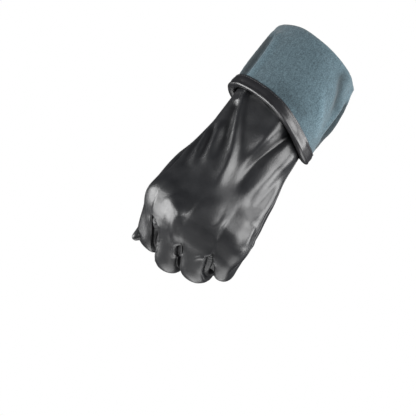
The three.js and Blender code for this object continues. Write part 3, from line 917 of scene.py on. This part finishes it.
cuff_folds = table_of(
    fold_columns,
    ("left_edge", 1.8, 3.0, 2.8, 0.1, 0.05, [
        (-24, -26.6, -8.5), (-19.8, -29.2, -16), (-18.6, -29.8, -24.3), (-18.6, -30, -35.2),
        (-19.4, -29.8, -47.5), (-21, -29.2, -60)]),
    ("left_flat", -1.6, 4.2, 4.0, 0.1, 0.1, [
        (-27.4, -25, -10), (-27, -26, -17), (-25.6, -27, -26), (-25.6, -27.2, -37), (-26.4, -27, -49),
        (-28, -26.4, -60)]),
    ("right_ridge", 2.0, 5.0, 4.6, 0.45, 0.1, [
        (34.4, -21.6, -31), (36, -20, -38), (38.4, -16.8, -45), (40.5, -12, -52), (41.8, -5.5, -58),
        (42, 2, -64)]),
    ("right_dent", -2.4, 5.6, 4.6, 0.2, 0.5, [
        (36, -14.4, -13), (39, -8.6, -19), (40.6, -4, -25), (41.2, -1.6, -32), (41.8, -0.8, -41),
        (42.2, 1.4, -50)]),
    ("right_edge", 1.4, 2.4, 2.4, 0.2, 0.1, [
        (39.6, 7.4, -22), (40.6, 6.4, -30), (41, 5.6, -40), (41.6, 4.6, -50), (41.8, 5.2, -58),
        (41, 9, -66)]),
    ("right_groove", -1.6, 1.7, 1.6, 0.15, 0.1, groove_line),
    ("right_roll", 3.6, 5.2, 5.0, 0.2, 0.45, [
        (38, 13.6, -6), (38.6, 14, -14), (39.4, 14.4, -24), (40, 14.6, -36)]),
    ("right_roll_low", 2.9, 5.0, 4.4, 0.35, 0.1, [
        (39.4, 14.4, -22), (40, 14.8, -38), (40.4, 13.8, -52), (41.2, 11.4, -66)]),
    ("palm_dent", -1.8, 7.0, 7.0, 0.3, 0.4, [
        (-6, 32, -16), (0, 33, -34), (8, 33, -52)]),
)

# Painted shade on the fleece: lines where its colour is darkened to stand for the shade on its
# side faces and in its creases, or with a negative rise lightened as painted highlight on a ridge.
nap_table = table_of(
    fold_columns,
    ("left_strip", 1.1, 2.8, 3.2, 0.3, 0.02, [
        (-29.4, -22.6, -8), (-31, -22.4, -15), (-29, -24.2, -24), (-28.2, -24.9, -35),
        (-29.2, -24.4, -47.5), (-30.2, -23.7, -61)]),
    ("left_shade", 0.36, 6.0, 7.0, 0.4, 0.02, [
        (-33.6, -19, -10), (-34.6, -19, -20), (-34.4, -20, -34), (-35, -19.4, -48), (-35.6, -18.6, -61)]),
    ("left_line", 0.35, 1.0, 0.9, 0.1, 0.02, [
        (-27.3, -24.6, -8.4), (-28, -24.5, -14.1), (-25.5, -26.5, -22.7), (-24.5, -27.3, -34),
        (-25.6, -26.9, -46.3), (-26.6, -26.2, -60)]),
    ("left_light", -0.4, 3.6, 3.6, 0.2, 0.1, [
        (-21.4, -28, -13), (-20, -29, -22.7), (-19.3, -29.6, -32.7), (-20.4, -29.2, -45),
        (-21.6, -28.8, -58)]),
    ("low_dark", 0.25, 6.0, 4.4, 0.3, 0.1, [
        (2, -32.4, -52), (10, -32.2, -53), (20, -30.6, -55), (29, -26.6, -58), (36, -20.6, -62)]),
    ("right_dark", 0.62, 6.4, 5.2, 0.15, 0.45, [
        (35, -16, -10), (38.4, -10, -17), (40.4, -5, -24), (41.2, -1.6, -32), (41.8, -0.4, -41),
        (42.2, 1.8, -52)]),
    ("right_light", -0.35, 3.4, 3.6, 0.3, 0.1, [
        (33.6, -22, -30), (36, -20, -38), (38.4, -16.8, -45), (40.5, -12, -52), (41.8, -5.5, -58),
        (42, 2, -64)]),
    ("right_line", 0.7, 1.3, 1.1, 0.05, 0.02, groove_line),
    ("right_strip", 1.1, 2.6, 3.0, 0.25, 0.05, [
        (37.8, 14.4, -16), (39, 14, -29), (40, 13.2, -41), (40.6, 12.2, -53), (40.1, 15.2, -68)]),
    ("right_shade", 0.36, 5.0, 6.0, 0.4, 0.05, [
        (36.4, 18.6, -18), (37.6, 18.6, -30), (38.6, 18, -42), (39.2, 17.2, -54), (38.8, 19.4, -68)]),
)
angles = np.arange(cuff_sides) * 2 * math.pi / cuff_sides


# A ring of points round a section. Arm and cuff slope down to the little finger's side.
def section_points(rows, z, grow):
    row = section_at(rows, z)
    across, deep = (
        np.sign(part) * np.abs(part) ** (2 / row["square"]) for part in (np.cos(angles), np.sin(angles))
    )
    x = row["x"] + across * (row["half"] + grow)
    y = row["y"] - deep * (np.where(deep > 0, row["back"], row["palm"]) + grow)
    lower = x * cuff_slope + cuff_drop * np.maximum(x - cuff_drop_from, 0) ** 2
    lower = lower * ease(z, slope_starts, slope_full)
    if rows is cuff_sections:
        lower = lower + (hem_slope * x + hem_drop * x**2) * ease(z, hem_starts, hem_full)
    return np.stack([x, y, z - lower], axis=1)


def outward(points):
    flat = points * (1, 1, 0)
    return flat / np.linalg.norm(flat, axis=1)[:, None]


def pushed(points, rise):
    return points + outward(points) * rise[:, None]


mouth = section_points(hand_sections, fold_height, fold_radius)
mouth_out = outward(mouth)
mouth_lift = lift_height * np.exp(-(((mouth[:, 0] - lift_at) / lift_width) ** 2)) * (mouth[:, 1] < 0)


# The rings of one layer: up inside the arm, over the mouth in a half turn, and down the cuff.
def layer_rows(offset, inner_end):
    rows = []
    for z in np.linspace(inner_end, fold_height, int((fold_height - inner_end) / arm_ring_step)):
        deeper = wrist_tuck * ease(z, tuck_starts, tuck_full)
        rows.append(section_points(hand_sections, z, 0) - mouth_out * (offset + deeper))
    for turn in np.linspace(0, math.pi, fold_rings)[1:-1]:
        point = mouth - mouth_out * math.cos(turn) * (fold_radius + offset)
        point[:, 2] = mouth[:, 2] + math.sin(turn) * (fold_radius + offset + mouth_lift)
        rows.append(point)
    for z in np.linspace(fold_height, hem_edge, cuff_rings):
        blend_in = ease(z, fold_height - blend_height, fold_height)
        on_cuff = section_points(cuff_sections, z, 0) + mouth_out * (offset - bag_depth)
        at_fold = mouth + mouth_out * (fold_radius + offset)
        at_fold[:, 2] += z - fold_height
        rows.append(on_cuff * (1 - blend_in) + at_fold * blend_in)
    return rows


# Folds of the cuff grow flat towards the band, which holds the hem.
def cuff_rise(points):
    return fold_rise(points, cuff_folds) * (1 - calm_share * ease(points[:, 2], calm_starts, calm_full))


def ring_faces(points, rings):
    faces = []
    for r in range(rings):
        n = (r + 1) % rings
        for k in range(cuff_sides):
            m = (k + 1) % cuff_sides
            faces.append((r * cuff_sides + k, n * cuff_sides + k, n * cuff_sides + m, r * cuff_sides + m))
    a, b, c, d = (points[[face[k] for face in faces]] for k in range(4))
    volume = (np.cross(b - a, c - a) * a).sum() + (np.cross(c - a, d - a) * a).sum()
    return faces if volume > 0 else [face[::-1] for face in faces]


# Napped knit: fine flecks and short streaks up and down. Its colour is darkened by painted shade
# on side faces and in creases, and lightened by painted highlight on ridges.
def fleece(name, tone, light):
    made, tree, surface = new_material(name)
    place = tree.nodes.new("ShaderNodeTexCoord").outputs["Object"]
    stretched = add_node(tree, "ShaderNodeMapping", {"Vector": place, "Scale": (1.0, 1.0, 0.32)})
    flecks = noise(tree, place, scale=1000, detail=2, roughness=0.6)
    streaks = noise(tree, stretched.outputs["Vector"], scale=700, detail=2)
    drifts = noise(tree, place, scale=42, detail=2)
    mottle = add_math(tree, "MULTIPLY_ADD", flecks, 0.75, add_math(tree, "MULTIPLY", streaks, 0.25))
    drifting = add_math(tree, "MULTIPLY_ADD", drifts, 0.12, mottle)
    # The colour is scaled down by the painted shade, and up where the painted highlight is negative.
    shaded = tree.nodes.new("ShaderNodeVectorMath")
    shaded.operation = "SCALE"
    set_inputs(tree, shaded, {
        0: dyed(tree, drifting, (0.42, tone), (0.70, light)),
        "Scale": add_math(tree, "SUBTRACT", 1.0, attribute(tree, "nap")),
    })
    set_inputs(tree, surface, {
        "Base Color": shaded.outputs["Vector"],
        "Normal": bumped(tree, mottle, strength=0.6, distance=0.0005),
        "Roughness": 0.95, "Specular IOR Level": 0.15, "Sheen Weight": 0.12, "Sheen Roughness": 0.5,
    })
    return made


blue_fleece = fleece("blue_fleece", (0.031, 0.048, 0.058), (0.068, 0.104, 0.121))
fleece_rows = layer_rows(bag_depth, lining_end)
backing_rows = layer_rows(leather_wall + layer_gap, lining_end)
lining_points = np.concatenate(fleece_rows + backing_rows[::-1])
# Painted shade and painted highlight of the fleece, from its table of lines.
nap_lies = np.clip(fold_rise(lining_points, nap_table), nap_lightest, nap_darkest)
lining_rise = cuff_rise(lining_points)
at_hide = lining_points + outward(lining_points) * hide_outside
lining_rise += np.minimum(fold_rise(at_hide, fold_table), 0)
lining_points = pushed(lining_points, lining_rise)
lining_swells = unevenness(lining_points, lengths=(30, 5.0), heights=(0.25, 0.07), seed=21)
lining_points = pushed(lining_points, lining_swells)
lining_faces = ring_faces(lining_points, len(fleece_rows) + len(backing_rows))
lining_piece = mesh_piece("fleece_cuff", lining_points, lining_faces, blue_fleece, nap=nap_lies)
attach(lining_piece, "root")
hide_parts("fleece_lining")

backing_out = layer_rows(leather_wall - backing_clear, backing_end)
backing_in = layer_rows(0.0, backing_end)
facing_points = np.concatenate(backing_out + backing_in[::-1])
facing_points = pushed(facing_points, cuff_rise(facing_points))
facing_faces = ring_faces(facing_points, len(backing_out) + len(backing_in))
facing_piece = mesh_piece("cuff_hide", facing_points, facing_faces, black_hide, crest=0.4)
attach(facing_piece, "root")
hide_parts("leather_shell")


# Hem band: a strip of black hide folded round the raw edges of hide and fleece and stitched down
# along its upper edge. Its lower edge is a full, rolled rim that catches the light.
band_profile = table_of(
    "z off",
    (8.4, 0.1), (8.9, 0.55), (8.9, 1.0), (8.4, 1.2), (7.8, 1.0), (7.2, 1.15), (6.2, 1.5),
    (4.8, 1.65), (3.4, 1.6), (2.3, 1.45), (1.6, 1.5), (0.9, 1.8), (0.1, 1.8), (-0.6, 1.4),
    (-1.05, 0.6), (-1.1, -0.6), (-1.0, -1.9), (-0.7, -3.1), (0.0, -4.2), (1.2, -4.6), (3.4, -4.5),
    (5.4, -4.4), (5.6, -3.9), (5.2, -3.45), (1.4, -3.4), (1.2, 0.1),
)
band_hide = hide("band_hide", (0.0075, 0.0075, 0.0085), roughness=0.36, grain=800.0, depth=0.00008)
band_share = 0.3
band_rows = []
for row in band_profile:
    ring = section_points(cuff_sections, hem_height + row["z"], 0)
    band_rows.append(ring + outward(ring) * row["off"])
band_points = np.concatenate(band_rows)
band_rise = band_share * fold_rise(band_points, cuff_folds)
band_rise += unevenness(band_points, lengths=(16,), heights=(0.2,), seed=5)
band_points = pushed(band_points, band_rise)
band_faces = ring_faces(band_points, len(band_rows))
band_piece = mesh_piece("band_leather", band_points, band_faces, band_hide, crest=0.5)
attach(band_piece, "root")
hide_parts("hem_band")


# Seams: the hide is sewn with fine black thread. Where a strip or a panel joins, the turned edges
# stand up as a thin roll with small stitches over it. The hem band carries one row of stitches
# near its upper edge.
def sewing_tree():
    tree = bpy.data.node_groups.new("sewn_line", "GeometryNodeTree")
    sockets = {
        "Geometry": "Geometry", "Roll Radius": "Float", "Stitch Pitch": "Float", "Stitch Length": "Float",
        "Stitch Radius": "Float", "Has Roll": "Bool", "Hide": "Material", "Thread": "Material",
    }
    for label, kind in sockets.items():
        tree.interface.new_socket(label, in_out="INPUT", socket_type="NodeSocket" + kind)
    tree.interface.new_socket("Geometry", in_out="OUTPUT", socket_type="NodeSocketGeometry")
    given = tree.nodes.new("NodeGroupInput").outputs

    path = add_node(tree, "GeometryNodeMeshToCurve", {"Mesh": given["Geometry"]}).outputs["Curve"]
    circle = {"Resolution": 8, "Radius": given["Roll Radius"]}
    roll = add_node(tree, "GeometryNodeCurveToMesh", {
        "Curve": path, "Fill Caps": True,
        "Profile Curve": add_node(tree, "GeometryNodeCurvePrimitiveCircle", circle).outputs["Curve"],
    })
    smooth = add_node(tree, "GeometryNodeSetShadeSmooth", {"Geometry": roll.outputs["Mesh"]})
    dressed = {"Geometry": smooth.outputs["Geometry"], "Material": given["Hide"]}
    roll_hide = add_node(tree, "GeometryNodeSetMaterial", dressed)
    wanted = tree.nodes.new("GeometryNodeSwitch")
    wanted.input_type = "GEOMETRY"
    set_inputs(tree, wanted, {"Switch": given["Has Roll"], "True": roll_hide.outputs["Geometry"]})

    spots = tree.nodes.new("GeometryNodeCurveToPoints")
    spots.mode = "LENGTH"
    set_inputs(tree, spots, {"Curve": path, "Length": given["Stitch Pitch"]})
    ball = {"Segments": 7, "Rings": 5, "Radius": given["Stitch Radius"]}
    stitch = add_node(tree, "GeometryNodeMeshUVSphere", ball)
    slimness = add_math(tree, "DIVIDE", given["Stitch Length"], given["Stitch Radius"])
    half_slimness = add_math(tree, "MULTIPLY", slimness, 0.5)
    stretch = add_node(tree, "ShaderNodeCombineXYZ", {"X": 1, "Y": 1, "Z": half_slimness})
    turned = tree.nodes.new("FunctionNodeAlignRotationToVector")
    turned.axis = "Z"
    set_inputs(tree, turned, {"Vector": spots.outputs["Tangent"]})
    sewn = add_node(tree, "GeometryNodeInstanceOnPoints", {
        "Points": spots.outputs["Points"], "Instance": stitch.outputs["Mesh"],
        "Rotation": turned.outputs["Rotation"], "Scale": stretch.outputs["Vector"],
    })
    real = add_node(tree, "GeometryNodeRealizeInstances", {"Geometry": sewn.outputs["Instances"]})
    dressed = {"Geometry": real.outputs["Geometry"], "Material": given["Thread"]}
    thread = add_node(tree, "GeometryNodeSetMaterial", dressed)

    joined = add_node(tree, "GeometryNodeJoinGeometry", {"Geometry": wanted.outputs["Output"]})
    tree.links.new(thread.outputs["Geometry"], joined.inputs["Geometry"])
    add_node(tree, "NodeGroupOutput", {"Geometry": joined.outputs["Geometry"]})
    return tree


def sewn_lines(name, lines, tree, closed, values):
    points, edges = [], []
    for line in lines:
        first = len(points)
        points += [tuple(point) for point in np.asarray(line) * 0.001]
        edges += [(first + k, first + k + 1) for k in range(len(line) - 1)]
        if closed:
            edges.append((len(points) - 1, first))
    guide_mesh = bpy.data.meshes.new(name + "_guide")
    guide_mesh.from_pydata(points, edges, [])
    guide = bpy.data.objects.new(name + "_guide", guide_mesh)
    bpy.context.collection.objects.link(guide)
    modifier = guide.modifiers.new("sewing", "NODES")
    modifier.node_group = tree
    for item in tree.interface.items_tree:
        if item.in_out == "INPUT" and item.name in values:
            modifier[item.identifier] = values[item.name]
    depsgraph = bpy.context.evaluated_depsgraph_get()
    mesh = bpy.data.meshes.new_from_object(guide.evaluated_get(depsgraph))
    bpy.data.objects.remove(guide)
    made = bpy.data.objects.new(name, mesh)
    mesh.name = name
    bpy.context.collection.objects.link(made)
    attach(made, "root")
    return made


# A line laid on the skin, lifted a little off it and smoothed.
def laid_on(skin, line, lift):
    spots = []
    for point in line:
        spot, normal, face, gap = skin.find_nearest(Vector(point))
        spots.append(np.array(spot) + np.array(normal) * lift)
    spots = np.array(spots)
    for _ in range(2):
        spots[1:-1] = (spots[:-2] + 2 * spots[1:-1] + spots[2:]) / 4
    return spots


black_thread, thread_tree, thread_surface = new_material("black_thread")
set_inputs(thread_tree, thread_surface, {"Base Color": (0.03, 0.03, 0.033, 1), "Roughness": 0.5})
sewing = sewing_tree()
hand_skin = BVHTree.FromPolygons(hand_points.tolist(), hand_faces.tolist())
seam_values = {
    "Stitch Pitch": 0.0022, "Stitch Length": 0.0013, "Has Roll": True,
    "Hide": black_hide, "Thread": black_thread,
}

# A slit's seams run along its two edges, on the back of the fist. Each goes through the middles of
# the skin's points near marks along the slit.
first_mark, last_mark, mark_step = 6, 46, 2.2
mark_reach = 1.6
edge_inset = 0.8
deepest = -1.6
least_back = -0.1
fewest_points, fewest_marks = 4, 6
slit_lines = []
for slit in slit_table:
    sideways, past, near, half = slit_fields(hand_fields, slit)
    heights = (hand_fields[slit["one"]][2] + hand_fields[slit["other"]][2]) / 2
    signed, past_here, half_here, depth_here, back_share = (
        at_skin(field) for field in (sideways, past, half, hand_hull, heights)
    )
    for side in (-1, 1):
        line = []
        for mark in np.arange(slit["start"] + first_mark, slit["start"] + last_mark, mark_step):
            pick = np.abs(past_here - mark) < mark_reach
            pick &= np.abs(signed * side - half_here - edge_inset) < edge_inset
            pick &= (depth_here > deepest) & (back_share > least_back)
            if pick.sum() >= fewest_points:
                line.append(hand_points[pick].mean(axis=0))
        if len(line) >= fewest_marks:
            slit_lines.append(laid_on(hand_skin, curve_through(line, count=len(line) * 3), lift=0.1))
slit_values = {**seam_values, "Roll Radius": 0.00042, "Stitch Radius": 0.0005}
sewn_lines("slit_seams", slit_lines, sewing, False, slit_values)

little_side = [
    (34, 6, -62), (35.5, 8, -80), (37, 9, -96), (41, 8, -112), (44.5, 7, -128),
    (48, 7, -144), (49, 8, -156), (47, 12, -170), (43, 20, -184),
]
index_side = [
    (-34, -4, -62), (-35.5, -6, -80), (-38, -8, -100), (-42, -8.5, -120), (-44.5, -9, -140),
    (-45, -8, -156), (-45.5, -2, -170), (-47, 8, -184),
]
side_lines = [
    laid_on(hand_skin, curve_through(line, count=60), lift=0.15) for line in (little_side, index_side)
]
side_values = {**seam_values, "Roll Radius": 0.0005, "Stitch Radius": 0.0006}
sewn_lines("side_seams", side_lines, sewing, False, side_values)

# The band's stitches lie in the dip below its upper edge.
stitch_dip = 7.8
stitch_out = 1.05
stitch_ring = section_points(cuff_sections, hem_height + stitch_dip, 0)
stitch_ring = pushed(stitch_ring, stitch_out + band_share * fold_rise(stitch_ring, cuff_folds))
band_values = {
    "Roll Radius": 0.0003, "Stitch Pitch": 0.0021, "Stitch Length": 0.0015, "Stitch Radius": 0.00024,
    "Has Roll": False, "Hide": band_hide, "Thread": black_thread,
}
sewn_lines("band_stitches", [stitch_ring], sewing, True, band_values)
